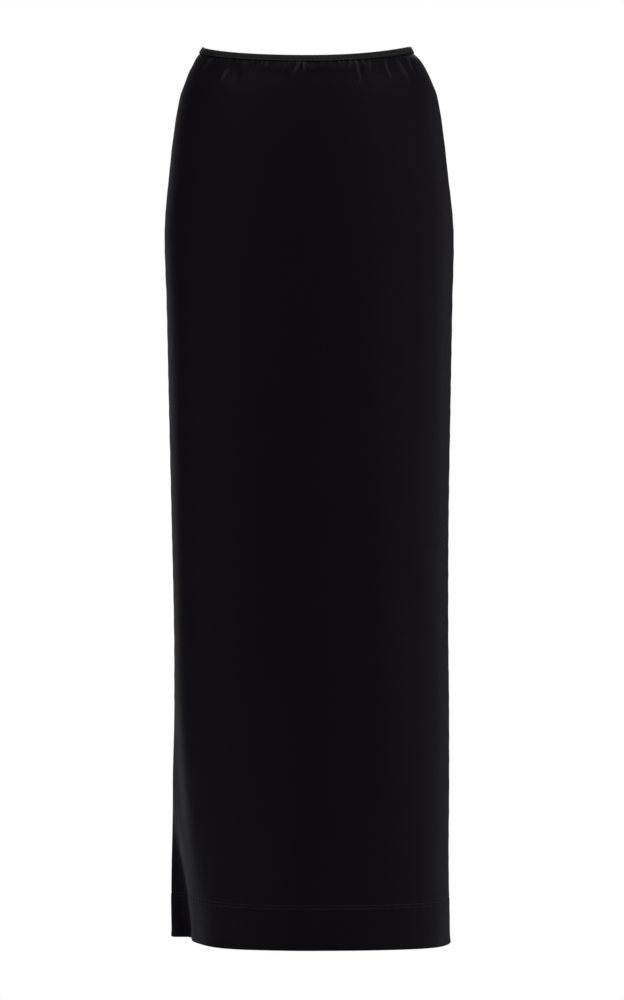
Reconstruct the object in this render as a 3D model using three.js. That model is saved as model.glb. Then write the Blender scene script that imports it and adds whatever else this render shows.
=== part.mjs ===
// Maxi skirt of black jersey, filled out as if worn, hanging from its waist.
//
// The skirt is a straight column of three cut pieces: a front panel and a back panel, joined at the two
// side seams and gathered at the top into a narrow elastic binding. Each panel's lower edge is turned up
// inside and held by a twin row of stitches, so the panel is a J in section. The binding is folded over
// the panels' raw top edges, so it is a U in section.
//
// Frame: millimetres, +Z up. The front of the skirt faces -Y and the wearer's left side faces +X. The
// origin is the middle of the waist opening, level with the middle of the binding at the side seams.
import * as THREE from "three";

// ---------------------------------------------------------------------------------------------------------
// Driving dimensions

const CLOTH = 1.2; // wall of one layer of jersey
const SEAM_GAP = 0.3; // between any two sewn pieces
const LAYER_GAP = 0.4; // between a panel and its turned-up hem
const HEM_Z = -1051.5; // lower edge of the skirt
const HEM_DEPTH = 53; // height of the turned-up hem

const BINDING_HEIGHT = 7.5;
const BINDING_WALL = 1;
const BINDING_GAP = CLOTH + 2 * SEAM_GAP; // between its two legs, where the panels' edges lie
const BINDING_TOP_Z = 4; // top of the binding at the side seams, the skirt's highest point
const FRONT_DIP = 17.6; // how far the waist dips at the centre front
const BACK_DIP = 6; // and at the centre back
const DIP_ROUNDING = 1.3; // over 1 rounds the peaks of the waistline at the side seams
const LEFT_FRONT_ROUNDING = 1.7; // the same at the front on the wearer's left, where the waist sits higher

const PANEL_COLUMNS = 33; // facets round each panel
const PANEL_ROWS = 20; // facets down each panel, from the binding to the hem

// Plan sections of the filled-out skirt, one row for each height. left, right, front and back are the
// reach from the origin's vertical line to the cloth's outer face, and square is the superellipse
// exponent: 2 is an ellipse, and more is squarer.
const SECTIONS = [
  { z: 4, left: 123, right: 120, front: 80, back: 87, square: 2.05 },
  { z: -6, left: 128.8, right: 125.8, front: 84, back: 91, square: 2.05 },
  { z: -16, left: 134.8, right: 135, front: 88, back: 95, square: 2.05 },
  { z: -26, left: 140.3, right: 140.8, front: 91.5, back: 98.5, square: 2.08 },
  { z: -38, left: 145, right: 146.3, front: 95, back: 102.5, square: 2.1 },
  { z: -56, left: 151.2, right: 152.8, front: 99, back: 108, square: 2.15 },
  { z: -94, left: 157.8, right: 159.1, front: 104.5, back: 117, square: 2.2 },
  { z: -140, left: 163.2, right: 164.5, front: 108, back: 124, square: 2.25 },
  { z: -212, left: 169.1, right: 171.6, front: 110.5, back: 128, square: 2.32 },
  { z: -300, left: 166.7, right: 170.1, front: 111, back: 124, square: 2.4 },
  { z: -436, left: 163.8, right: 167.8, front: 111, back: 120, square: 2.45 },
  { z: -560, left: 161, right: 165.6, front: 110.5, back: 119, square: 2.5 },
  { z: -680, left: 158.4, right: 165, front: 110, back: 119, square: 2.55 },
  { z: -770, left: 159, right: 166, front: 111, back: 120, square: 2.6 },
  { z: -870, left: 160, right: 166.3, front: 112, back: 121, square: 2.7 },
  { z: -950, left: 161, right: 165.5, front: 114, back: 122, square: 2.8 },
  { z: -1050, left: 162, right: 166.5, front: 116, back: 123, square: 2.9 },
];

// The largest folds, one row for each. A fold runs from angle `from` at height `starts` to angle `to` at
// height `ends`. Angles are in degrees round the skirt from the centre front, positive towards the
// wearer's left. It grows from nothing at `starts` to its whole size at `full`, and one that `fades` dies
// away between there and `ends`. out and back are how far its middle moves outwards and rearwards, and
// width is its half width in degrees. One with a crest is a sharp ridge, rounded over that share of its
// width.
const FOLDS = [
  // the crease where the flat front turns into the side
  { starts: -430, full: -610, ends: -880, from: 45, to: 79, out: 3.2, width: 15, crest: 0.12, fades: true },
  // the hollow outside the right thigh, and the tuck and the lobe at that side's seam
  { starts: -660, full: -1050, ends: -1050, from: -50.5, to: -71.8, out: -34.5, back: 2.1, width: 30.9 },
  { starts: -840, full: -1050, ends: -1050, from: -105.5, to: -101.1, out: -10.2, back: 27.5, width: 7.9 },
  { starts: -690, full: -1050, ends: -1050, from: -104.7, to: -119.5, out: 21.6, back: -13.9, width: 13.6 },
  // soft drape over the lower front
  { starts: -560, full: -1050, ends: -1050, from: -24, to: -26, out: -2.6, width: 13 },
  { starts: -600, full: -1050, ends: -1050, from: 36, to: 39, out: -3, width: 14 },
  // folds that hang from the seat
  { starts: -330, full: -1050, ends: -1050, from: 205, to: 201, out: -13, width: 11 },
  { starts: -420, full: -1050, ends: -1050, from: 183, to: 182, out: 5, width: 10 },
  { starts: -300, full: -1050, ends: -1050, from: 160, to: 163, out: -15, width: 12 },
  { starts: -520, full: -1050, ends: -1050, from: 134, to: 136, out: -10, width: 9 },
];

// The right side seam swings back into its fold: where it starts to, where it has, how far in degrees, and
// the half width in degrees of the cloth that swings with it.
const SEAM_SWING = { angle: -90, starts: -600, full: -1050, by: -13, width: 35 };

// ---------------------------------------------------------------------------------------------------------
// The form: the outer face of the cloth as a function of angle and height

const radians = THREE.MathUtils.degToRad;
const smooth = (x) => THREE.MathUtils.smoothstep(x, 0, 1);

// A column of SECTIONS at any height, along a cubic curve through the rows. Past the ends it runs on
// straight.
function sectionValue(column, z) {
  const rows = SECTIONS;
  const slope = (i) => {
    const [a, b] = [rows[Math.max(i - 1, 0)], rows[Math.min(i + 1, rows.length - 1)]];
    return (b[column] - a[column]) / (b.z - a.z);
  };
  if (z >= rows[0].z) return rows[0][column] + slope(0) * (z - rows[0].z);
  const last = rows.length - 1;
  if (z <= rows[last].z) return rows[last][column] + slope(last) * (z - rows[last].z);
  const i = rows.findIndex((row) => row.z < z) - 1;
  const step = rows[i + 1].z - rows[i].z;
  const t = (z - rows[i].z) / step;
  const [t2, t3] = [t * t, t * t * t];
  return (
    (2 * t3 - 3 * t2 + 1) * rows[i][column] +
    (t3 - 2 * t2 + t) * step * slope(i) +
    (3 * t2 - 2 * t3) * rows[i + 1][column] +
    (t3 - t2) * step * slope(i + 1)
  );
}

// Degrees from one angle to another, the short way round.
const turn = (from, to) => THREE.MathUtils.euclideanModulo(to - from + 180, 360) - 180;

// How strongly a fold acts at an angle and height, from 0 to 1.
function foldStrength(fold, angle, z) {
  const grown = smooth((fold.starts - z) / (fold.starts - fold.full));
  const left = fold.fades ? smooth((z - fold.ends) / (fold.full - fold.ends)) : 1;
  const along = (fold.starts - z) / (fold.starts - fold.ends);
  const middle = fold.from + (fold.to - fold.from) * along;
  const across = Math.abs(turn(middle, angle)) / fold.width;
  const { crest } = fold;
  const shape = crest ? Math.exp(crest - Math.hypot(across, crest)) : Math.exp(-across * across);
  return grown * left * shape;
}

// A point of the cloth's outer face.
function formPoint(angle, z) {
  const [sin, cos] = [Math.sin(radians(angle)), Math.cos(radians(angle))];
  const wide = sectionValue(sin < 0 ? "left" : "right", z);
  const deep = sectionValue(cos > 0 ? "front" : "back", z);
  const n = sectionValue("square", z);
  let reach = (Math.abs(sin / wide) ** n + Math.abs(cos / deep) ** n) ** (-1 / n);
  let rearwards = 0;
  for (const fold of FOLDS) {
    const strength = foldStrength(fold, angle, z);
    reach += fold.out * strength;
    rearwards += (fold.back ?? 0) * strength;
  }
  return new THREE.Vector3(reach * sin, -reach * cos + rearwards, z);
}

// The height of the binding's top edge round the waist. It dips with the depth of the form.
function waistline(angle) {
  const { x, y } = formPoint(angle, BINDING_TOP_Z);
  const [top] = SECTIONS;
  const [dip, share] = y < 0 ? [FRONT_DIP, -y / top.front] : [BACK_DIP, y / top.back];
  return BINDING_TOP_Z - dip * share ** (x > 0 && y < 0 ? LEFT_FRONT_ROUNDING : DIP_ROUNDING);
}

// The angle where the cloth at an angle ends up at a height, once the seam has swung.
function swungAngle(angle, z) {
  const grown = smooth((SEAM_SWING.starts - z) / (SEAM_SWING.starts - SEAM_SWING.full));
  const across = turn(SEAM_SWING.angle, angle) / SEAM_SWING.width;
  return angle + SEAM_SWING.by * grown * Math.exp(-across * across);
}

// A point at an angle, `drop` below the waistline where the skirt is whole, and `out` off the outer face.
// Drops share out the waistline's dip, so that the hem is level.
function clothPoint(angle, drop, out) {
  const top = waistline(angle);
  const z = top - (drop * (top - HEM_Z)) / (BINDING_TOP_Z - HEM_Z);
  const swung = swungAngle(angle, z);
  const across = formPoint(swung + 0.05, z).sub(formPoint(swung - 0.05, z));
  const down = formPoint(swung, z - 0.5).sub(formPoint(swung, z + 0.5));
  const outwards = down.cross(across).normalize();
  return formPoint(swung, z).addScaledVector(outwards, out);
}

// ---------------------------------------------------------------------------------------------------------
// Sweeping a section round the form

// Angles from `from` to `to` that are evenly spaced along the hem, where the folds are deepest.
function evenAngles(from, to, count) {
  const FINE = 720;
  const fine = Array.from({ length: FINE + 1 }, (_, i) => from + ((to - from) * i) / FINE);
  const points = fine.map((angle) => formPoint(swungAngle(angle, HEM_Z), HEM_Z));
  const run = [0];
  for (let i = 1; i <= FINE; i++) run.push(run[i - 1] + points[i].distanceTo(points[i - 1]));
  return Array.from({ length: count + 1 }, (_, k) => {
    const wanted = (run[FINE] * k) / count;
    const i = Math.max(1, run.findIndex((length) => length >= wanted - 1e-9));
    return fine[i - 1] + ((fine[i] - fine[i - 1]) * (wanted - run[i - 1])) / (run[i] - run[i - 1]);
  });
}

// A closed solid: a strip of cloth swept through the angles. The strip is a list of stations along it,
// each with the [drop, out] of its face and of its back. A ring joins its last angle to its first, and any
// other sweep is closed at both ends.
function sweep(strip, angles, ring) {
  const section = [...strip.map(({ face }) => face), ...strip.map(({ back }) => back).reverse()];
  const corners = section.length;
  const positions = angles.flatMap((angle) =>
    section.flatMap(([drop, out]) => clothPoint(angle, drop, out).toArray()),
  );
  const faces = [];
  const spans = ring ? angles.length : angles.length - 1;
  for (let i = 0; i < spans; i++) {
    const [near, far] = [i * corners, ((i + 1) % angles.length) * corners];
    for (let k = 0; k < corners; k++) {
      const next = (k + 1) % corners;
      // cut each facet pair along the diagonal that falls towards `far`, so that the layers stay parallel
      if (section[next][0] > section[k][0]) {
        faces.push(near + k, near + next, far + next, near + k, far + next, far + k);
      } else {
        faces.push(near + k, near + next, far + k, far + k, near + next, far + next);
      }
    }
  }
  if (!ring) {
    const end = (angles.length - 1) * corners;
    for (let k = 0; k < strip.length - 1; k++) {
      const [a, b, c, d] = [k, k + 1, corners - 2 - k, corners - 1 - k];
      faces.push(a, c, b, a, d, c, end + a, end + b, end + c, end + a, end + c, end + d);
    }
  }
  const geometry = new THREE.BufferGeometry();
  geometry.setAttribute("position", new THREE.Float32BufferAttribute(positions, 3));
  geometry.setIndex(faces);
  geometry.computeVertexNormals();
  return geometry;
}

// Stations round a fold that turns a strip back on itself: its edge is at `drop`, its face starts from
// `out`, and `towards` is 1 for a fold at a lower edge and -1 for one at an upper edge.
function foldStations(drop, out, wall, gap, towards) {
  const FACETS = 3;
  const [outer, inner] = [wall + gap / 2, gap / 2];
  const corner = (radius, turned) => [
    drop - towards * (outer - radius * Math.sin(turned)),
    out - outer + radius * Math.cos(turned),
  ];
  return Array.from({ length: FACETS + 1 }, (_, i) => {
    const turned = (Math.PI * i) / FACETS;
    return { face: corner(outer, turned), back: corner(inner, turned) };
  });
}

// ---------------------------------------------------------------------------------------------------------
// The pieces

// A panel's strip: down the panel, round the fold at the hem and up the turned-up layer to its raw edge.
// Its first two rows are level with the binding's corners, and the rest are closer together near the
// waist, where the form curves most.
function panelStrip() {
  const CROWDING = 1.4;
  const hem = BINDING_TOP_Z - HEM_Z;
  const hemTop = hem - HEM_DEPTH;
  const middle = hem - HEM_DEPTH / 2;
  const panel = (drop) => ({ face: [drop, 0], back: [drop, -CLOTH] });
  const turnUp = (drop) => ({ face: [drop, -2 * CLOTH - LAYER_GAP], back: [drop, -CLOTH - LAYER_GAP] });
  const rows = Array.from({ length: PANEL_ROWS + 1 }, (_, i) =>
    panel(BINDING_HEIGHT + (hemTop - BINDING_HEIGHT) * (i / PANEL_ROWS) ** CROWDING),
  );
  return [
    panel(BINDING_WALL + BINDING_GAP / 2),
    ...rows,
    panel(middle),
    ...foldStations(hem, 0, CLOTH, LAYER_GAP, 1),
    turnUp(middle),
    turnUp(hemTop),
  ];
}

// The binding's strip: up from its inner edge, over the panels' raw edges and down to its outer edge.
function bindingStrip() {
  const outside = SEAM_GAP + BINDING_WALL;
  const inside = -CLOTH - SEAM_GAP;
  return [
    { face: [BINDING_HEIGHT, outside], back: [BINDING_HEIGHT, SEAM_GAP] },
    ...foldStations(0, outside, BINDING_WALL, BINDING_GAP, -1),
    { face: [BINDING_HEIGHT, inside - BINDING_WALL], back: [BINDING_HEIGHT, inside] },
  ].reverse();
}

// The side seams are at the widest points, and each panel stops half a seam gap short of them.
const seamHalf = THREE.MathUtils.radToDeg(SEAM_GAP / 2 / SECTIONS[0].left);
const frontAngles = evenAngles(-90 + seamHalf, 90 - seamHalf, PANEL_COLUMNS);
const backAngles = evenAngles(90 + seamHalf, 270 - seamHalf, PANEL_COLUMNS);

const jersey = new THREE.MeshStandardMaterial({ color: 0x0e0c12, roughness: 0.72, metalness: 0 });
const elastic = new THREE.MeshStandardMaterial({ color: 0x161415, roughness: 0.5, metalness: 0 });

function piece(name, geometry, material) {
  const mesh = new THREE.Mesh(geometry, material);
  mesh.name = name;
  return mesh;
}

const skirt = new THREE.Group();
skirt.add(
  piece("front_panel", sweep(panelStrip(), frontAngles, false), jersey),
  piece("back_panel", sweep(panelStrip(), backAngles, false), jersey),
  piece("waist_binding", sweep(bindingStrip(), [...frontAngles, ...backAngles], true), elastic),
);

export default skirt;
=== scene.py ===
# %% [markdown]
# # A maxi skirt in black jersey
#
# The skirt is a straight column of thin knit cloth that hangs from a narrow elastic binding round the
# waist. A front and a back panel meet at the side seams, and each one's lower edge is turned up inside and
# sewn with a twin row of stitches. It is shown filled out, as on a wearer who isn't there, so it is open at
# both ends.
#
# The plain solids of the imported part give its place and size. This file builds the cloth that is seen: thin
# shells on the same form, with the gathers, creases and drape of real jersey, the binding, and every
# stitch. All tables are in millimetres, and one factor turns them into Blender's metres at the end.

import math
from functools import partial

import bpy
import numpy as np
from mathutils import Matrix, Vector


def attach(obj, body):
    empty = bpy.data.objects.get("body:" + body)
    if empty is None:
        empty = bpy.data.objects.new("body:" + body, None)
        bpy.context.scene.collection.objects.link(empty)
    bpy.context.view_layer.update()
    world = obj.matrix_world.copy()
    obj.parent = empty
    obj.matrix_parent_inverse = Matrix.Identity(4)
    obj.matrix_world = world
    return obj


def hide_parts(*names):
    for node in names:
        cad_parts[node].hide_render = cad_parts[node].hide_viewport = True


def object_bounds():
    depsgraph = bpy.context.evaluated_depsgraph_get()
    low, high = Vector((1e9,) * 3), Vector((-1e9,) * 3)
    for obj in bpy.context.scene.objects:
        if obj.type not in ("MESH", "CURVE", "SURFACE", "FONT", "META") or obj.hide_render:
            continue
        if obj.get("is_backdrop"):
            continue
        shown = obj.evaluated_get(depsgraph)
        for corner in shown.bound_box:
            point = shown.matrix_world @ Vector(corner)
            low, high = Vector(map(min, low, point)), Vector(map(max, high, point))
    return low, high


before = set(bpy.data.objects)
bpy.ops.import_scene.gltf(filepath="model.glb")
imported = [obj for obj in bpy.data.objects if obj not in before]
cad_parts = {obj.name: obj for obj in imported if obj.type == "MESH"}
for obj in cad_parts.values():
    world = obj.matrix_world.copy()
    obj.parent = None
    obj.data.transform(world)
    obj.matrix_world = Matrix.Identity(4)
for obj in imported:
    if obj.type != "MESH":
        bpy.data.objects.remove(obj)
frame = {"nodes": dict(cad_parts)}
cad_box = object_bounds()
MM = 0.001
print("packed nodes:", ", ".join(frame["nodes"]))
print("packed size in mm:", [round((high - low) / MM) for low, high in zip(*cad_box)])

# %% [markdown]
# ## Camera, floor and light
#
# The camera stands level with the middle of the skirt, a long way off with a long lens, so that the sides
# look straight. A black cloth shows its shape only by what it reflects at a slant, so the light comes from
# nine large soft panels: two in front, a tall one at each side, one past each side for a thin bright rim,
# two above the front for the gathers under the waist, and one high behind. Their levels began as a
# least-squares fit of renders lit by one light each, and were then changed. The backdrop is white to
# the eye only, and lights the cloth a little.

# %% The camera
EYE = (0.0047, -5.5, -0.5305)
LENS = 167.8

camera_data = bpy.data.cameras.new("camera")
camera_data.sensor_width = 36
camera_data.lens = LENS
camera = bpy.data.objects.new("camera", camera_data)
camera.location = EYE
camera.rotation_euler = (math.radians(90), 0, 0)
bpy.context.scene.collection.objects.link(camera)
bpy.context.scene.camera = camera
print(f"camera {-EYE[1]} m in front of the skirt, {LENS} mm lens")

# %% The light panels
# degrees round the skirt from the front, degrees up, width, height, watts; each is REACH from MIDDLE
REACH = 2.6
MIDDLE = Vector((0, 0, -0.5))
LIGHTS = {
    "front_left": (38, 6, 0.7, 2.2, 2.4),
    "front_right": (-38, 6, 0.7, 2.2, 2.2),
    "tall_left": (75, 0, 0.7, 2.2, 4.6),
    "tall_right": (-72, 0, 0.7, 2.2, 2.2),
    "rim_left": (120, 0, 0.7, 2.2, 3.4),
    "rim_right": (-150, 0, 0.7, 2.2, 2.4),
    "above_left": (50, 52, 1.0, 0.8, 4.6),
    "above_right": (-40, 55, 1.0, 0.8, 4.6),
    "behind": (180, 40, 1.4, 1.4, 16.0),
}


def light_panel(name, azimuth, elevation, width, height, watts):
    """A soft rectangular light that faces the middle of the skirt."""
    around, up = math.radians(azimuth), math.radians(elevation)
    away = Vector((math.sin(around) * math.cos(up), -math.cos(around) * math.cos(up), math.sin(up)))
    data = bpy.data.lights.new(name, "AREA")
    data.shape = "RECTANGLE"
    data.size = width
    data.size_y = height
    data.energy = watts
    light = bpy.data.objects.new(name, data)
    light.location = MIDDLE + away * REACH
    light.rotation_euler = (-away).to_track_quat("-Z", "Y").to_euler()
    bpy.context.scene.collection.objects.link(light)


for name, settings in LIGHTS.items():
    light_panel(name, *settings)
print(len(LIGHTS), "light panels")

# %% The backdrop
AMBIENT = 0.05  # how much the backdrop lights the cloth; to the eye it is 1

world = bpy.data.worlds.new("backdrop")
world.use_nodes = True
backdrop = world.node_tree.nodes["Background"]
backdrop.inputs["Color"].default_value = (1, 1, 1, 1)
seen = world.node_tree.nodes.new("ShaderNodeLightPath")
strength = world.node_tree.nodes.new("ShaderNodeMapRange")
strength.inputs["To Min"].default_value = AMBIENT
strength.inputs["To Max"].default_value = 1.0
world.node_tree.links.new(seen.outputs["Is Camera Ray"], strength.inputs["Value"])
world.node_tree.links.new(strength.outputs["Result"], backdrop.inputs["Strength"])
bpy.context.scene.world = world
bpy.context.scene.view_settings.view_transform = "Standard"
print("backdrop lights the cloth at", AMBIENT)

# %% [markdown]
# ## Materials
#
# A material is built from small steps, so two helpers keep them readable. `Number` stands for a value that
# varies over the surface: sums on it add Math nodes, so a pattern reads as a formula. `Look` holds one
# material and makes every other kind of node.

# %% Helpers for materials
class Number:
    """A value that varies over a surface. Sums on it add Math nodes to its material."""

    def __init__(self, look, socket):
        self.look = look
        self.socket = socket

    def math(self, operation, *values):
        return self.look.node("ShaderNodeMath", {"operation": operation}, dict(enumerate(values)))

    def __add__(self, other):
        return self.math("ADD", self, other)

    def __mul__(self, other):
        return self.math("MULTIPLY", self, other)

    def sine(self):
        return self.math("SINE", self)

    def positive(self):
        return self.math("ABSOLUTE", self)

    __radd__ = __add__
    __rmul__ = __mul__


class Look:
    """One material. Its surface is a Principled shader."""

    def __init__(self, name, constants):
        self.material = bpy.data.materials.new(name)
        self.material.use_nodes = True
        self.tree = self.material.node_tree
        self.shader = self.tree.nodes["Principled BSDF"]
        for socket, value in constants.items():
            self.shader.inputs[socket].default_value = value

    def connect(self, value, socket):
        if isinstance(value, Number):
            self.tree.links.new(value.socket, socket)
        else:
            socket.default_value = value

    def node(self, kind, settings=None, sockets=None, output=0):
        """Makes a node, sets it, then gives its sockets their values or links."""
        made = self.tree.nodes.new(kind)
        for key, value in (settings or {}).items():
            setattr(made, key, value)
        for key, value in (sockets or {}).items():
            self.connect(value, made.inputs[key])
        return Number(self, made.outputs[output])

    def surface(self, socket, value):
        self.connect(value, self.shader.inputs[socket])

    def cloth_place(self):
        """Where a point lies on the flat cloth, in metres: along the rows of knitting, and down the panel."""
        flat = self.node("ShaderNodeUVMap", {"uv_map": "flat_cloth"})
        across = self.node("ShaderNodeSeparateXYZ", {}, {0: flat})
        down = Number(self, across.socket.node.outputs[1])
        return across, down

    def noise(self, scale, detail=2.0):
        """Soft noise from 0 to 1 with so many waves to a metre."""
        place = self.node("ShaderNodeTexCoord", output="Object")
        sockets = {"Vector": place, "Scale": scale, "Detail": detail}
        return self.node("ShaderNodeTexNoise", {}, sockets)

    def between(self, first, second, factor):
        """A colour between two colours."""
        settings = {"data_type": "RGBA"}
        return self.node("ShaderNodeMix", settings, {0: factor, 6: first, 7: second}, output=2)

    def bumped(self, height, distance, strength=1.0):
        sockets = {"Height": height, "Distance": distance, "Strength": strength}
        self.surface("Normal", self.node("ShaderNodeBump", {}, sockets))


print("helpers ready")

# %% [markdown]
# ### Jersey
#
# Jersey is a fine knit of viscose with a little elastane: matt, nearly black with a violet cast, and soft
# enough to catch light only where the eye meets it at a slant. Up close it has fine upright ribs, the
# wales, each a column of small loops. A knit could be modelled thread by thread, but at this size a bump on
# the flat cloth's own coordinates gives the same look and stays in line with the cloth where it gathers.
# On the top of each gather a highlight is painted into the colour: an attribute that the mesh carries, the
# crest, mixes in a lighter colour there.

# %% Jersey
WALE = 0.0009  # width of one rib of loops, in metres
COURSE = 0.0007  # height of one loop
KNIT_BUMP = 0.00006
DEEP_DYE = (0.0084, 0.0054, 0.0132, 1)
WORN_DYE = (0.0116, 0.0078, 0.018, 1)
# painted highlight: a lighter colour mixed into the jersey's colour on the tops of the gathers
CREST_PAINTED_HIGHLIGHT = (0.13, 0.115, 0.125, 1)
CREST_HIGHLIGHT_SHARE = 0.62  # how much of the shine a full crest takes

JERSEY_FINISH = {
    "Specular IOR Level": 0.2,
    "Sheen Weight": 0.07,
    "Sheen Roughness": 0.42,
    "Sheen Tint": (0.82, 0.78, 0.95, 1),
}

jersey = Look("jersey", JERSEY_FINISH)
across, down = jersey.cloth_place()
wales = (across * (math.pi / WALE)).sine().positive()
loops = (down * (2 * math.pi / COURSE) + wales * 1.6).sine()
fuzz = jersey.noise(1500.0)
jersey.bumped(wales * 0.7 + loops * 0.16 + fuzz * 0.5, KNIT_BUMP, 0.55)
dye = jersey.noise(9.0, 4.0)
dyed = jersey.between(DEEP_DYE, WORN_DYE, dye)
# painted highlight: the crest attribute mixes a lighter colour into the base colour on the tops of the
# gathers
crest = jersey.node("ShaderNodeAttribute", {"attribute_name": "crest"}, output=2)
jersey.surface("Base Color", jersey.between(dyed, CREST_PAINTED_HIGHLIGHT, crest * CREST_HIGHLIGHT_SHARE))
jersey.surface("Roughness", jersey.noise(35.0) * 0.1 + 0.5)
print("jersey: a rib every", WALE * 1000, "mm")

# %% [markdown]
# ### Elastic binding and thread
#
# The binding is a narrow strip of smoother, tighter knit folded over the raw edge. It is a little lighter
# and shinier than the jersey, with upright ribs that show as it is stretched and let go. The thread is
# polyester with a slight gloss, so each stitch catches the light.

# %% Elastic binding and thread
RIB = 0.0017  # distance between the ribs of the binding, in metres
RIB_BUMP = 0.00012
ELASTIC_COLOURS = (0.011, 0.0092, 0.0088, 1), (0.021, 0.018, 0.0165, 1)
THREAD_COLOURS = (0.03, 0.027, 0.028, 1), (0.075, 0.07, 0.068, 1)
TWIST_BUMP = 0.00008

ELASTIC_FINISH = {"Specular IOR Level": 0.5, "Sheen Weight": 0.15, "Sheen Roughness": 0.4}

elastic = Look("elastic_binding", ELASTIC_FINISH)
across, down = elastic.cloth_place()
ribs = (across * (2 * math.pi / RIB)).sine() + elastic.noise(600.0) * 0.8
elastic.bumped(ribs, RIB_BUMP, 0.6)
shade = elastic.noise(160.0, 3.0)
elastic.surface("Base Color", elastic.between(*ELASTIC_COLOURS, shade))
elastic.surface("Roughness", elastic.noise(240.0) * 0.14 + 0.4)

thread = Look("thread", {"Specular IOR Level": 0.5, "Roughness": 0.42})
twist = thread.noise(2400.0)
thread.surface("Base Color", thread.between(*THREAD_COLOURS, twist))
thread.bumped(twist, TWIST_BUMP, 0.7)
print("elastic: a rib every", RIB * 1000, "mm")

# %% [markdown]
# ## The form
#
# Worn jersey takes the body's form and then falls straight. A short table of plan sections says how far it
# reaches to each side at a height, and a smooth curve joins them. A superellipse rounds each section: its
# exponent is 2 for an ellipse, and more for squarer corners. A table of large folds then moves the cloth in
# or out along slanting lines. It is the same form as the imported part's, so the cloth lies exactly on its
# solid.

# %% The plan sections and the large folds
HEM_Z = -1051.5
BINDING_TOP_Z = 4.0
LENGTH = BINDING_TOP_Z - HEM_Z
FRONT_DIP = 17.6
BACK_DIP = 6.0
DIP_ROUNDING = 1.3
LEFT_FRONT_ROUNDING = 1.7  # at the front on the wearer's left, where the waist sits higher

# height, reach to the wearer's right, to the left, to the front, to the back, exponent
SECTIONS = np.array([
    (4, 123, 120, 80, 87, 2.05),
    (-6, 128.8, 125.8, 84, 91, 2.05),
    (-16, 134.8, 135, 88, 95, 2.05),
    (-26, 140.3, 140.8, 91.5, 98.5, 2.08),
    (-38, 145, 146.3, 95, 102.5, 2.1),
    (-56, 151.2, 152.8, 99, 108, 2.15),
    (-94, 157.8, 159.1, 104.5, 117, 2.2),
    (-140, 163.2, 164.5, 108, 124, 2.25),
    (-212, 169.1, 171.6, 110.5, 128, 2.32),
    (-300, 166.7, 170.1, 111, 124, 2.4),
    (-436, 163.8, 167.8, 111, 120, 2.45),
    (-560, 161, 165.6, 110.5, 119, 2.5),
    (-680, 158.4, 165, 110, 119, 2.55),
    (-770, 159, 166, 111, 120, 2.6),
    (-870, 160, 166.3, 112, 121, 2.7),
    (-950, 161, 165.5, 114, 122, 2.8),
    (-1050, 162, 166.5, 116, 123, 2.9),
])

# The heights where a fold starts, is full and ends, the angles of its middle at the start and the end, and
# how far it moves the cloth outwards and rearwards. Then come its half width in degrees, how rounded its
# crest is (0 for a soft fold), and whether it dies away before its end. Angles are degrees from the centre
# front, and positive towards the wearer's left.
FOLDS = [
    # the crease where the flat front turns into the side
    (-430, -610, -880, 45, 79, 3.2, 0, 15, 0.12, True),
    # the hollow outside the right thigh, and the tuck and the lobe at that side's seam; the angles, moves and
    # widths of these three came from a least-squares fit to the outline
    (-660, -1050, -1050, -50.5, -71.8, -34.5, 2.1, 30.9, 0, False),
    (-840, -1050, -1050, -105.5, -101.1, -10.2, 27.5, 7.9, 0, False),
    (-690, -1050, -1050, -104.7, -119.5, 21.6, -13.9, 13.6, 0, False),
    # soft drape over the lower front
    (-560, -1050, -1050, -24, -26, -2.6, 0, 13, 0, False),
    (-600, -1050, -1050, 36, 39, -3, 0, 14, 0, False),
    # folds that hang from the seat
    (-330, -1050, -1050, 205, 201, -13, 0, 11, 0, False),
    (-420, -1050, -1050, 183, 182, 5, 0, 10, 0, False),
    (-300, -1050, -1050, 160, 163, -15, 0, 12, 0, False),
    (-520, -1050, -1050, 134, 136, -10, 0, 9, 0, False),
]
# The right side seam swings back into its fold. These are the seam's angle, the heights where the swing
# starts and is full, how far it goes, and the half width of the cloth that goes with it, in degrees.
SEAM_SWING = (-90, -600, -1050, -13, 35)
print(len(SECTIONS), "sections and", len(FOLDS), "folds")


# %% The outer face of the cloth
def smooth(share):
    """Eases from 0 to 1."""
    share = np.clip(share, 0, 1)
    return share * share * (3 - 2 * share)


def section(column, z):
    """A column of SECTIONS at any height, along a cubic curve through its rows."""
    heights, values = SECTIONS[:, 0], SECTIONS[:, column]
    count = len(heights)
    before, after = np.maximum(np.arange(count) - 1, 0), np.minimum(np.arange(count) + 1, count - 1)
    slopes = (values[after] - values[before]) / (heights[after] - heights[before])
    i = np.clip(np.searchsorted(-heights, -z, side="right") - 1, 0, count - 2)
    step = heights[i + 1] - heights[i]
    t = np.clip((z - heights[i]) / step, 0, 1)
    inside = (
        (2 * t**3 - 3 * t**2 + 1) * values[i]
        + (t**3 - 2 * t**2 + t) * step * slopes[i]
        + (3 * t**2 - 2 * t**3) * values[i + 1]
        + (t**3 - t**2) * step * slopes[i + 1]
    )
    above, below = np.maximum(z - heights[0], 0), np.minimum(z - heights[-1], 0)
    return inside + above * slopes[0] + below * slopes[-1]


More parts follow.
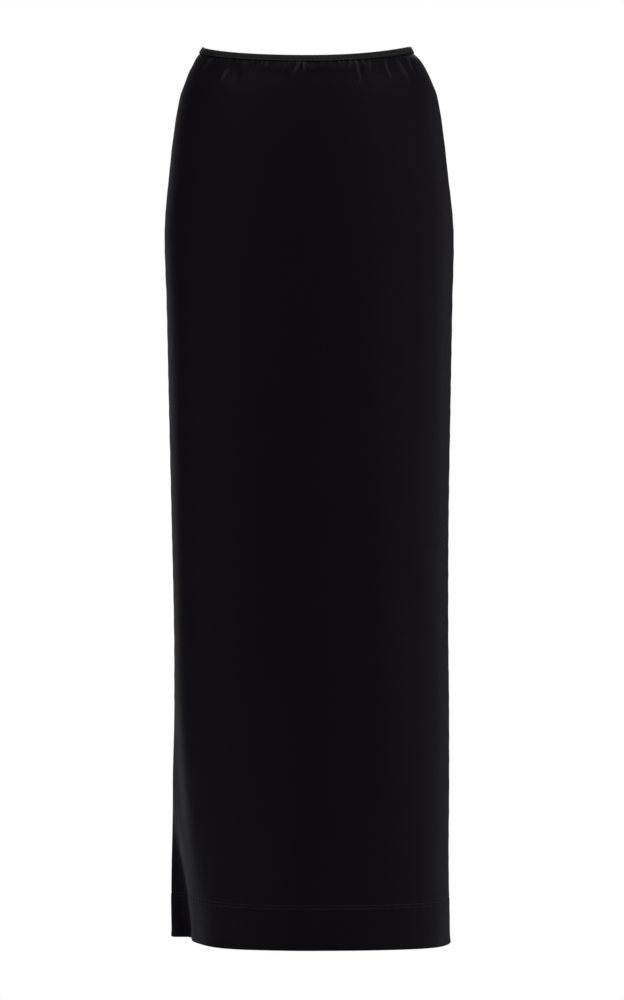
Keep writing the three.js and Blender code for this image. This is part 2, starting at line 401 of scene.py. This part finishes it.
def form(angle, z):
    """Points of the outer face, in millimetres."""
    angle, z = np.broadcast_arrays(angle, z)
    sin, cos = np.sin(np.radians(angle)), np.cos(np.radians(angle))
    wide = np.where(sin < 0, section(1, z), section(2, z))
    deep = np.where(cos > 0, section(3, z), section(4, z))
    exponent = section(5, z)
    reach = (np.abs(sin / wide) ** exponent + np.abs(cos / deep) ** exponent) ** (-1 / exponent)
    rearwards = np.zeros_like(reach)
    for starts, full, ends, first, last, out, back, width, crest, fades in FOLDS:
        grown = smooth((starts - z) / (starts - full))
        if fades:
            grown = grown * smooth((z - ends) / (full - ends))
        middle = first + (last - first) * (starts - z) / (starts - ends)
        aside = np.abs((angle - middle + 180) % 360 - 180) / width
        shape = np.exp(crest - np.hypot(aside, crest)) if crest else np.exp(-aside * aside)
        reach = reach + out * grown * shape
        rearwards = rearwards + back * grown * shape
    return np.stack([reach * sin, -reach * cos + rearwards, z], axis=-1)


def waistline(angle):
    """Height of the skirt's top edge: it dips towards the centre front and, less, the centre back."""
    top = form(angle, BINDING_TOP_Z)
    x, y = top[..., 0], top[..., 1]
    front, back = SECTIONS[0, 3], SECTIONS[0, 4]
    dip = np.where(y < 0, FRONT_DIP, BACK_DIP)
    share = np.clip(np.where(y < 0, -y / front, y / back), 0, None)
    rounding = np.where((x > 0) & (y < 0), LEFT_FRONT_ROUNDING, DIP_ROUNDING)
    return BINDING_TOP_Z - dip * share**rounding


def swung(angle, z):
    """The angle where the cloth at an angle ends up at a height, once the seam has swung."""
    seam, starts, full, by, width = SEAM_SWING
    aside = ((angle - seam + 180) % 360 - 180) / width
    return angle + by * smooth((starts - z) / (starts - full)) * np.exp(-aside * aside)


def height(angle, drop):
    """Height of a point `drop` below the top edge. The drops share out the dip, so the hem is level."""
    top = waistline(angle)
    return top - drop * (top - HEM_Z) / LENGTH


def outwards(angle, z):
    """Directions straight out of the cloth."""
    across = form(angle + 0.05, z) - form(angle - 0.05, z)
    down = form(angle, z - 0.5) - form(angle, z + 0.5)
    normal = np.cross(down, across)
    return normal / np.linalg.norm(normal, axis=-1, keepdims=True)


around = np.linalg.norm(np.diff(form(np.arange(0, 361, 1.0), -212.0), axis=0), axis=-1).sum()
print("round the hips:", round(around), "mm")

# %% [markdown]
# ## Gathers and creases
#
# Where the wide panel is drawn into the short elastic, the spare cloth makes small gathers: ridges and
# troughs that start under the binding and die away within a few centimetres. They crowd in some places and
# leave others smooth, and they lean outwards towards the hips. A physical simulation would gather the cloth
# evenly, so each main one is placed one by one, with a fine ripple between them. The back has its own, of the
# same kind.

# %% The gathers, placed one by one
# Across is from the centre of the panel, as seen from outside with right positive, and down is below the
# top edge. A gather runs from one point to another with a half width and a height, which is negative for a
# trough.
FRONT_GATHERS = [
    # across, down, across, down, half width, height
    (-107, 8, -122, 28, 1.9, -0.9),
    (-111, 8, -126, 30, 2.0, 0.6),
    (-115, 8, -128, 27, 1.7, -0.8),
    (-120, 8, -131, 23, 1.6, -0.7),
    (-86, 7, -99, 27, 2.2, -1.3),
    (-93, 17, -102, 40, 2.6, 1.2),
    (-80, 14, -88, 46, 6.5, -0.9),
    (-73, 7, -80, 30, 3.2, 0.6),
    (-61, 8, -67, 24, 1.9, -0.9),
    (-63, 7, -66, 14, 1.4, 0.8),
    (-53, 7, -55, 15, 1.4, 0.7),
    (-47, 7, -48, 18, 1.6, 0.9),
    (-33, 8, -34, 18, 1.5, 0.5),
    (-30, 8, -31, 18, 1.3, -0.5),
    (-26, 8, -27, 23, 1.5, 0.6),
    (-21, 7, -22, 13, 1.5, 0.8),
    (-17, 7, -18, 14, 1.4, 0.9),
    (-13, 7, -14, 13, 1.4, 0.8),
    (-9, 7, -18, 27, 1.7, 1.5),
    (-16, 9, -17, 20, 1.5, -0.8),
    (-8, 12, -9, 24, 1.6, -1.0),
    (-5, 7, -4, 24, 1.6, 1.4),
    (-3, 7, 2, 18, 1.4, 0.9),
    (4, 7, 4, 20, 1.5, 0.6),
    (7, 8, 8, 18, 1.5, -0.6),
    (16, 7, 17, 18, 1.6, 0.5),
    (26, 7, 27, 17, 1.6, 0.5),
    (36, 7, 38, 17, 1.5, 0.9),
    (41, 7, 42, 13, 1.4, 0.8),
    (50, 7, 46, 21, 1.7, 0.9),
    (54, 7, 56, 16, 1.6, 1.3),
    (63, 7, 65, 18, 2.2, 0.8),
    (57, 10, 62, 43, 2.0, 1.2),
    (61, 14, 66, 42, 2.2, -1.1),
    (71, 7, 72, 28, 1.8, 0.9),
    (84, 8, 88, 30, 3.2, -0.7),
    (87, 9, 100, 42, 2.1, 1.1),
    (94, 6, 97, 14, 1.5, -0.8),
    (103, 7, 106, 19, 1.6, 0.8),
    (104, 8, 123, 36, 2.1, -1.3),
    (106, 14, 120, 44, 3.0, 0.9),
    (115, 11, 127, 35, 1.9, 1.0),
    (119, 12, 128, 33, 1.7, -0.9),
]
BACK_GATHERS = [
    (-118, 8, -129, 28, 1.8, -0.8),
    (-112, 8, -124, 32, 2.0, 0.8),
    (-101, 7, -112, 36, 2.2, -1.1),
    (-94, 8, -104, 34, 2.3, 0.9),
    (-79, 7, -84, 26, 1.9, -0.8),
    (-71, 7, -74, 19, 1.6, 0.9),
    (-62, 7, -66, 38, 2.4, 1.0),
    (-56, 9, -60, 34, 2.3, -0.9),
    (-43, 7, -44, 18, 1.6, 0.8),
    (-34, 7, -35, 16, 1.5, 0.6),
    (-22, 7, -25, 27, 1.9, 1.1),
    (-17, 8, -19, 24, 1.7, -0.9),
    (-12, 7, -12, 18, 1.5, 0.9),
    (3, 7, 4, 31, 2.0, 1.2),
    (8, 8, 10, 26, 1.8, -0.9),
    (13, 7, 13, 15, 1.5, 0.7),
    (29, 7, 30, 19, 1.6, 0.6),
    (38, 7, 41, 33, 2.3, 1.0),
    (45, 9, 49, 30, 2.2, -1.0),
    (52, 7, 53, 17, 1.5, 0.8),
    (66, 7, 70, 25, 1.9, 0.9),
    (80, 8, 88, 41, 2.5, -1.1),
    (86, 8, 95, 44, 2.6, 1.1),
    (103, 7, 113, 29, 1.9, -0.9),
    (110, 7, 121, 33, 2.1, 0.9),
    (119, 9, 129, 30, 1.7, -0.8),
]
# where the small ripple between them is strongest: across, half width, height
FRONT_CROWDS = [(-112, 18, 0.3), (-58, 14, 0.2), (-12, 12, 0.35), (50, 16, 0.3), (108, 18, 0.25)]
BACK_CROWDS = [(-108, 20, 0.3), (-62, 16, 0.25), (-18, 14, 0.3), (8, 14, 0.25), (45, 16, 0.3), (104, 22, 0.3)]
print(len(FRONT_GATHERS), "gathers in front and", len(BACK_GATHERS), "behind")

# %% The relief of a panel
BINDING_HEIGHT = 7.5
HEM_DEPTH = 53.0
STITCH_ROWS = (LENGTH - HEM_DEPTH, LENGTH - HEM_DEPTH + 4)  # the twin row that holds the hem
GATHER_REACH = 125.0  # no gather goes lower than this
GATHER_HEIGHT = 1.5  # raises all the gathers together
# a gather this high gets the full painted highlight in the jersey's colour
CREST_FULL_HIGHLIGHT = 2.1  # a gather this high shines fully


def places(points, side):
    """For each point, how far it is from the panel's middle along the cloth, and straight across. Rows of
    points run from one side seam to the other."""
    steps = np.linalg.norm(np.diff(points, axis=1), axis=-1)
    run = np.concatenate([np.zeros((len(points), 1)), np.cumsum(steps, axis=1)], axis=1)
    across = points[..., 0] * side
    middle = np.array([np.interp(0, a, r) for a, r in zip(across, run)])
    run = run - middle[:, None]
    return run, across


def gather_relief(gathers, run, across, drop):
    relief = np.zeros_like(run)
    for first, top, last, bottom, width, rise in gathers:
        along = (drop - top) / (bottom - top)
        near = np.flatnonzero((along > -0.5) & (along < 1))
        for i in near:
            middle = np.interp(first + (last - first) * along[i], across[i], run[i])
            t = np.clip(along[i], 0, 1)
            tapered = math.sin(math.pi * t**0.6)
            relief[i] += GATHER_HEIGHT * rise * tapered * np.exp(-(((run[i] - middle) / width) ** 2))
    return relief


def ripple_relief(crowds, run, drop):
    """The fine, uneven ripple where the cloth goes into the binding."""
    wave = np.sin(run * (2 * math.pi / 6.1) + 1.4 * np.sin(run / 17.0))
    wave = wave + 0.6 * np.sin(run * (2 * math.pi / 9.7) + 2.0 + 0.9 * np.sin(run / 11.0))
    crowding = 0.07 + sum(rise * np.exp(-(((run - centre) / width) ** 2)) for centre, width, rise in crowds)
    fading = np.exp(-np.clip(drop - BINDING_HEIGHT, 0, None)[:, None] / 8.0)
    return wave * crowding * fading


def hem_relief(run, drop):
    """The double cloth of the hem, the dents of its stitches, and its edge, which flares a little."""
    step = 0.35 * smooth((drop - STITCH_ROWS[0]) / 3)
    dents = sum(-0.35 * np.exp(-(((drop - row) / 1.1) ** 2)) for row in STITCH_ROWS)
    flare = 0.9 * np.clip((drop - (LENGTH - 14)) / 14, 0, 1) ** 2
    near = np.exp(-(((drop - STITCH_ROWS[1]) / 7.0) ** 2))
    roping = 0.13 * np.sin(run * (2 * math.pi / 11) + 1.2 * np.sin(run / 29.0)) * near[:, None]
    return (step + dents + flare)[:, None] + roping


def drape_relief(run, drop):
    """Long shallow waves in the hanging cloth."""
    fall = smooth((drop - 60) / 300)[:, None]
    slant = run + drop[:, None] * 0.03
    waves = 0.35 * np.sin(slant / 13.0 + 0.8 * np.sin(drop[:, None] / 170)) + 0.3 * np.sin(slant / 21.0 + 1.1)
    return waves * fall


def seam_relief(run, drop):
    """Each panel rolls inwards at its side seams, which pucker a little."""
    from_seam = np.minimum(run - run[:, :1], run[:, -1:] - run)
    wave = np.sin(drop / 4.3 + 1.5 * np.sin(drop / 31.0))[:, None]
    pucker = 0.22 * wave * np.exp(-((from_seam / 5.0) ** 2))
    return -0.8 * np.exp(-((from_seam / 1.2) ** 2)) + pucker


def panel_relief(side, points, drop):
    """How far the cloth stands off the form, for rows of points at each drop."""
    gathers, crowds = (FRONT_GATHERS, FRONT_CROWDS) if side > 0 else (BACK_GATHERS, BACK_CROWDS)
    run, across = places(points, side)
    tucked = -0.6 * np.exp(-(((drop - BINDING_HEIGHT) / 1.6) ** 2))
    billow = 0.9 * np.exp(-(((drop - 14) / 6.0) ** 2))
    return (
        (tucked + billow)[:, None]
        + gather_relief(gathers, run, across, drop)
        + ripple_relief(crowds, run, drop)
        + hem_relief(run, drop)
        + drape_relief(run, drop)
        + seam_relief(run, drop)
    )


def panel_painted_highlight(side, points, drop):
    """From 0 to 1 on the tops of the gathers, where a highlight is painted into the jersey's colour."""
    gathers, crowds = (FRONT_GATHERS, FRONT_CROWDS) if side > 0 else (BACK_GATHERS, BACK_CROWDS)
    run, across = places(points, side)
    raised = gather_relief(gathers, run, across, drop) + 0.8 * ripple_relief(crowds, run, drop)
    return np.clip(raised / CREST_FULL_HIGHLIGHT, 0, 1) ** 1.5


print("relief ready")

# %% [markdown]
# ## Cutting and sweeping the cloth
#
# Each piece is a strip swept round the form: its section is a list of stations, each with its drop and how
# far it stands out, on the cloth's face and on its back. Seen in section a panel is a J, because its lower
# edge is turned up inside, and the binding is a U over the panels' raw edges. A shell built this way has
# its real thickness and closed edges, and the flat cloth's coordinates come with it for the knit.

# %% Sweeping a strip
CLOTH = 1.0
LAYER_GAP = 0.4
SEAM_HALF = 0.001  # half the gap between two sewn edges, in degrees


def evenly(first, last, count, edge_steps=()):
    """Angles spaced evenly along the cloth, judged at the waist and the hem together, with extra ones close
    to both ends, so many millimetres in."""
    fine = np.linspace(first, last, 1441)
    run = np.zeros_like(fine)
    for z in (-10.0, HEM_Z):
        steps = np.linalg.norm(np.diff(form(swung(fine, z), z), axis=0), axis=-1)
        run[1:] += np.cumsum(steps) / 2
    wanted = np.linspace(0, run[-1], count + 1)
    extra = np.array(edge_steps, dtype=float)
    wanted = np.unique(np.concatenate([wanted, extra, run[-1] - extra]))
    return np.interp(wanted, run, fine), wanted


def cloth_points(angles, drops, out, relief):
    """Points of the cloth: a row for each station's drop and distance out, and a column for each angle."""
    z = height(angles[None, :], drops[:, None])
    grid = swung(angles[None, :], z)
    base = form(grid, z)
    standing = relief(base, drops) + out[:, None]
    return base + outwards(grid, z) * standing[..., None]


def sweep(name, stations, angles, widths, relief, crest=None, ring=False):
    """A closed shell. stations holds the (drop, out) of its face and of its back for each step."""
    face, back = np.array([s[0] for s in stations], float), np.array([s[1] for s in stations], float)
    section_line = np.concatenate([face, back[::-1]])
    points = cloth_points(angles, section_line[:, 0], section_line[:, 1], relief)
    corners, columns = points.shape[:2]
    vertices = points.transpose(1, 0, 2).reshape(-1, 3) * MM
    down = np.concatenate([[0], np.cumsum(np.linalg.norm(np.diff(face, axis=0), axis=1))])
    down = np.concatenate([down, down[::-1], down[:1]]) * MM
    wide = np.append(widths, widths[-1] + widths[1]) * MM
    faces, flat = [], []
    for i in range(columns if ring else columns - 1):
        near, far = i * corners, (i + 1) % columns * corners
        for k in range(corners):
            after = (k + 1) % corners
            faces.append((near + k, near + after, far + after, far + k))
            flat += [(wide[i], -down[k]), (wide[i], -down[k + 1])]
            flat += [(wide[i + 1], -down[k + 1]), (wide[i + 1], -down[k])]
    if not ring:
        end = (columns - 1) * corners
        for k in range(len(stations) - 1):
            a, b, c, d = k, k + 1, corners - 2 - k, corners - 1 - k
            faces += [(a, d, c, b), (end + a, end + b, end + c, end + d)]
            flat += [(0, -down[k]), (0, -down[k]), (0, -down[k + 1]), (0, -down[k + 1])]
            flat += [(0, -down[k]), (0, -down[k + 1]), (0, -down[k + 1]), (0, -down[k])]
    mesh = bpy.data.meshes.new(name)
    mesh.from_pydata(vertices.tolist(), [], faces)
    mesh.uv_layers.new(name="flat_cloth").uv.foreach_set("vector", np.array(flat).ravel())
    # the crest attribute says where the jersey's painted highlight goes
    if crest:
        drops = section_line[:, 0]
        z = height(angles[None, :], drops[:, None])
        painted_highlight = crest(form(swung(angles[None, :], z), z), drops)
        mesh.attributes.new("crest", "FLOAT", "POINT").data.foreach_set("value", painted_highlight.T.ravel())
    mesh.shade_smooth()
    mesh.set_sharp_from_angle(angle=math.radians(55))
    piece = bpy.data.objects.new(name, mesh)
    bpy.context.scene.collection.objects.link(piece)
    triangles = 2 * len(faces)
    print(f"{name}: {columns} columns, {corners} rows, {triangles} triangles")
    return piece


def fold_stations(drop, out, wall, gap, towards, facets=6):
    """Stations round a fold that turns a strip back on itself, at a lower edge (1) or an upper one (-1)."""
    outer, inner = wall + gap / 2, gap / 2
    turned = np.linspace(0, math.pi, facets + 1)

    def corner(radius, t):
        return drop - towards * (outer - radius * math.sin(t)), out - outer + radius * math.cos(t)

    return [(corner(outer, t), corner(inner, t)) for t in turned]


print("sweep ready")

# %% [markdown]
# ## The two panels
#
# The rows are closest together near the waist, where the gathers are, and at the hem's stitches.

# %% The two panels
PANEL_COLUMNS = 214


def drops_between(*stops):
    """Drops from each stop to the next. A stop is a drop and the spacing from there on."""
    drops = []
    for (start, spacing), (end, _) in zip(stops, stops[1:]):
        count = max(1, round((end - start) / spacing))
        drops += [start + (end - start) * i / count for i in range(count)]
    return drops


def panel_stations():
    outer = drops_between(
        (3.2, 1.6), (50, 2.6), (GATHER_REACH, 9), (LENGTH - 62, 3), (LENGTH - 56, 0.75), (LENGTH - 45, 4),
        (LENGTH - 15, 2.5), (LENGTH - 3, 1),
    )
    stations = [((drop, 0), (drop, -CLOTH)) for drop in outer]
    stations += fold_stations(LENGTH, 0, CLOTH, LAYER_GAP, 1)
    behind = -CLOTH - LAYER_GAP
    levels = np.linspace(LENGTH - 6, LENGTH - HEM_DEPTH - 2, 8)
    return stations + [((drop, behind - CLOTH), (drop, behind)) for drop in levels]


EDGE_STEPS = (0.5, 1.0, 1.6)  # extra columns beside each seam, for its roll
front_angles, front_widths = evenly(-90 + SEAM_HALF, 90 - SEAM_HALF, PANEL_COLUMNS, EDGE_STEPS)
back_angles, back_widths = evenly(90 + SEAM_HALF, 270 - SEAM_HALF, PANEL_COLUMNS, EDGE_STEPS)
front_relief, back_relief = partial(panel_relief, 1), partial(panel_relief, -1)
# where the painted highlight goes on each panel
front_painted_highlight, back_painted_highlight = partial(panel_painted_highlight, 1), partial(panel_painted_highlight, -1)
front = sweep("front_cloth", panel_stations(), front_angles, front_widths, front_relief, front_painted_highlight)
back = sweep("back_cloth", panel_stations(), back_angles, back_widths, back_relief, back_painted_highlight)

# %% [markdown]
# ## The binding
#
# The elastic strip is folded over the raw edges and sewn down with two rows of stitches. It puffs a little
# between the rows, and its edges ripple where the elastic has drawn the cloth together.

# %% The binding
BINDING_WALL = 0.9
BINDING_GAP = 1.5
BINDING_OUT = 1.35  # its outer face, off the form
BINDING_PUFF = 0.15  # how much further out its middle is
BINDING_ROWS = (2.3, 5.6)  # its two rows of stitches, below the top edge
BINDING_COLUMNS = 480


def crowned(drop):
    """How far the binding's outer face stands off the form."""
    return BINDING_OUT + BINDING_PUFF * math.sin(math.pi * drop / BINDING_HEIGHT)


def binding_relief(points, drops):
    turned = np.arctan2(points[..., 0], -points[..., 1])
    ripple = 0.14 * np.sin(97 * turned + 1.6 * np.sin(5 * turned))
    ripple += 0.1 * np.sin(151 * turned + 2.2 * np.sin(3 * turned))
    dents = sum(-0.22 * np.exp(-(((drops - row) / 0.6) ** 2)) for row in BINDING_ROWS)
    return dents[:, None] + ripple * smooth(drops / 6)[:, None]


def binding_stations():
    levels = (7.5, 7.3, 6.6, 6.1, 5.6, 5.1, 4.5, 3.9, 3.3, 2.8, 2.3)
    outside = [((drop, crowned(drop)), (drop, crowned(drop) - BINDING_WALL)) for drop in levels]
    turn = fold_stations(0, BINDING_OUT, BINDING_WALL, BINDING_GAP, -1, 8)
    inside = BINDING_OUT - 2 * BINDING_WALL - BINDING_GAP
    leg = [((drop, inside), (drop, inside + BINDING_WALL)) for drop in (2.5, 4, 5.6, 7, 7.5)]
    return (outside + turn + leg)[::-1]


ring_angles, ring_widths = evenly(-90, 270, BINDING_COLUMNS)
ring_angles, ring_widths = ring_angles[:-1], ring_widths[:-1]
binding = sweep("binding", binding_stations(), ring_angles, ring_widths, binding_relief, ring=True)

# %% [markdown]
# ## Stitches
#
# A stitch is a short, fat grain of thread, repeated every few millimetres along a line on the cloth.
# Geometry Nodes suit that: one tree takes a line, spaces points along it, and puts a grain on each, turned
# along the line. The tree's result is made a plain mesh, so nothing live is left on the piece.

# %% The tree that sews
STITCH_SEED = 11


def sewing_tree():
    tree = bpy.data.node_groups.new("sewing", "GeometryNodeTree")
    put = tree.interface.new_socket
    put("Line", in_out="INPUT", socket_type="NodeSocketGeometry")
    for name in ("Pitch", "Stitch Length", "Stitch Width", "Stitch Height"):
        put(name, in_out="INPUT", socket_type="NodeSocketFloat")
    put("Thread", in_out="INPUT", socket_type="NodeSocketMaterial")
    put("Stitches", in_out="OUTPUT", socket_type="NodeSocketGeometry")

    def node(kind, sockets=None, **settings):
        made = tree.nodes.new(kind)
        for key, value in settings.items():
            setattr(made, key, value)
        for key, value in (sockets or {}).items():
            if isinstance(value, bpy.types.NodeSocket):
                tree.links.new(value, made.inputs[key])
            else:
                made.inputs[key].default_value = value
        return made

    given = node("NodeGroupInput").outputs
    curve = node("GeometryNodeMeshToCurve", {"Mesh": given["Line"]})
    upright = node("GeometryNodeSetCurveNormal", {"Curve": curve.outputs[0]}, mode="Z_UP")
    sockets = {"Curve": upright.outputs[0], "Length": given["Pitch"]}
    spaced = node("GeometryNodeResampleCurve", sockets, mode="LENGTH")
    tangent = node("GeometryNodeInputTangent")
    normal = node("GeometryNodeInputNormal")
    along = node("FunctionNodeAlignRotationToVector", {"Vector": tangent.outputs[0]}, axis="X")
    sockets = {"Rotation": along.outputs[0], "Vector": normal.outputs[0]}
    turned = node("FunctionNodeAlignRotationToVector", sockets, axis="Z", pivot_axis="X")
    sockets = {0: given["Stitch Height"], 1: given["Stitch Width"], 2: given["Stitch Length"]}
    size = node("ShaderNodeCombineXYZ", sockets)
    grain = node("GeometryNodeMeshUVSphere", {"Segments": 7, "Rings": 5, "Radius": 0.5})
    sockets = {"Geometry": grain.outputs[0], "Rotation": (0, math.pi / 2, 0), "Scale": size.outputs[0]}
    shaped = node("GeometryNodeTransform", sockets)
    uneven = node("FunctionNodeRandomValue", {2: 0.86, 3: 1.1, "Seed": STITCH_SEED}, data_type="FLOAT")
    sockets = {"Points": spaced.outputs[0], "Instance": shaped.outputs[0], "Rotation": turned.outputs[0]}
    sockets["Scale"] = uneven.outputs[1]
    sewn = node("GeometryNodeInstanceOnPoints", sockets)
    real = node("GeometryNodeRealizeInstances", {"Geometry": sewn.outputs[0]})
    dyed = node("GeometryNodeSetMaterial", {"Geometry": real.outputs[0], "Material": given["Thread"]})
    smoothed = node("GeometryNodeSetShadeSmooth", {"Geometry": dyed.outputs[0]})
    node("NodeGroupOutput", {0: smoothed.outputs[0]})
    return tree


sewing = sewing_tree()
print("the tree has", len(sewing.nodes), "nodes")


# %% Sewing along lines
def sew(name, lines, pitch, length, width, rise, ring=False):
    """Stitches along lines of points in millimetres. Sizes are in millimetres too."""
    points, edges = [], []
    for line in lines:
        first = len(points)
        points += (np.asarray(line) * MM).tolist()
        edges += [(first + i, first + i + 1) for i in range(len(line) - 1)]
        if ring:
            edges.append((len(points) - 1, first))
    mesh = bpy.data.meshes.new(name + "_line")
    mesh.from_pydata(points, edges, [])
    line_object = bpy.data.objects.new(name + "_line", mesh)
    bpy.context.scene.collection.objects.link(line_object)
    modifier = line_object.modifiers.new("sewing", "NODES")
    modifier.node_group = sewing
    values = {"Pitch": pitch * MM, "Stitch Length": length * MM, "Stitch Width": width * MM}
    values |= {"Stitch Height": rise * MM, "Thread": thread.material}
    for socket in sewing.interface.items_tree:
        if socket.name in values:
            modifier[socket.identifier] = values[socket.name]
    evaluated = line_object.evaluated_get(bpy.context.evaluated_depsgraph_get())
    made = bpy.data.meshes.new_from_object(evaluated)
    made.name = name
    made.materials.clear()
    made.materials.append(thread.material)
    made.polygons.foreach_set("material_index", [0] * len(made.polygons))
    bpy.data.objects.remove(line_object)
    piece = bpy.data.objects.new(name, made)
    bpy.context.scene.collection.objects.link(piece)
    print(f"{name}: {len(made.polygons)} faces")
    return piece


def line_on(angles, drop, out, relief):
    """Points along the cloth at a drop. The relief needs two rows of points, and the first is kept."""
    return cloth_points(angles, np.array([drop, drop + 0.01]), np.array([out, out]), relief)[0]


def hem_lines(angles, relief):
    return [line_on(angles, row, HEM_THREAD_OUT, relief) for row in STITCH_ROWS]


BINDING_STITCH = {"pitch": 2.1, "length": 1.7, "width": 0.7, "rise": 0.55}
HEM_STITCH = {"pitch": 2.4, "length": 1.9, "width": 0.75, "rise": 0.55}
BINDING_THREAD_OUT = 0.08  # how far the middle of the thread stands off the cloth
HEM_THREAD_OUT = 0.12

ring_lines = [
    line_on(ring_angles, drop, crowned(drop) + BINDING_THREAD_OUT, binding_relief) for drop in BINDING_ROWS
]
binding_stitches = sew("binding_stitches", ring_lines, **BINDING_STITCH, ring=True)
front_hem_stitches = sew("front_hem_stitches", hem_lines(front_angles, front_relief), **HEM_STITCH)
back_hem_stitches = sew("back_hem_stitches", hem_lines(back_angles, back_relief), **HEM_STITCH)

# %% [markdown]
# ## Dress the pieces and tie them to the part
#
# Each shell gets its material and stands for its solid. The skirt has no joints, so everything rides on the
# one body.

# %% The floor
FLOOR_RADIUS = 2
FLOOR_Z = -1.35
FLOOR_CORNERS = 96

turns = [math.tau * i / FLOOR_CORNERS for i in range(FLOOR_CORNERS)]
rim = [(FLOOR_RADIUS * math.cos(turn), FLOOR_RADIUS * math.sin(turn), FLOOR_Z) for turn in turns]
floor_mesh = bpy.data.meshes.new("floor")
floor_mesh.from_pydata(rim, [], [list(range(FLOOR_CORNERS))])
floor = bpy.data.objects.new("floor", floor_mesh)
bpy.context.scene.collection.objects.link(floor)
pale = Look("pale_floor", {"Specular IOR Level": 0.2, "Roughness": 0.85})
pale.surface("Base Color", pale.between((0.78, 0.78, 0.77, 1), (0.84, 0.84, 0.83, 1), pale.noise(3.0)))
floor_mesh.materials.append(pale.material)
floor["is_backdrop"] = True
print("floor", round(-FLOOR_Z + HEM_Z * MM, 2), "m below the hem")

# %% Materials and places
for piece, node, look, slot in (
    (front, "front_panel", jersey, "jersey"),
    (back, "back_panel", jersey, "jersey"),
    (binding, "waist_binding", elastic, "elastic_binding"),
):
    piece.data.materials.append(look.material)
    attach(piece, "root")
    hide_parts(node)
for piece, slot in (
    (binding_stitches, "elastic_binding"),
    (front_hem_stitches, "jersey"),
    (back_hem_stitches, "jersey"),
):
    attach(piece, "root")

print("3 sheets and their stitches ride on the root body")

# %% Size
shown_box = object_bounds()
growth = [[round((b - a) / MM, 1) for a, b in zip(*corners)] for corners in zip(cad_box, shown_box)]
print("shown minus packed, in mm:", growth)
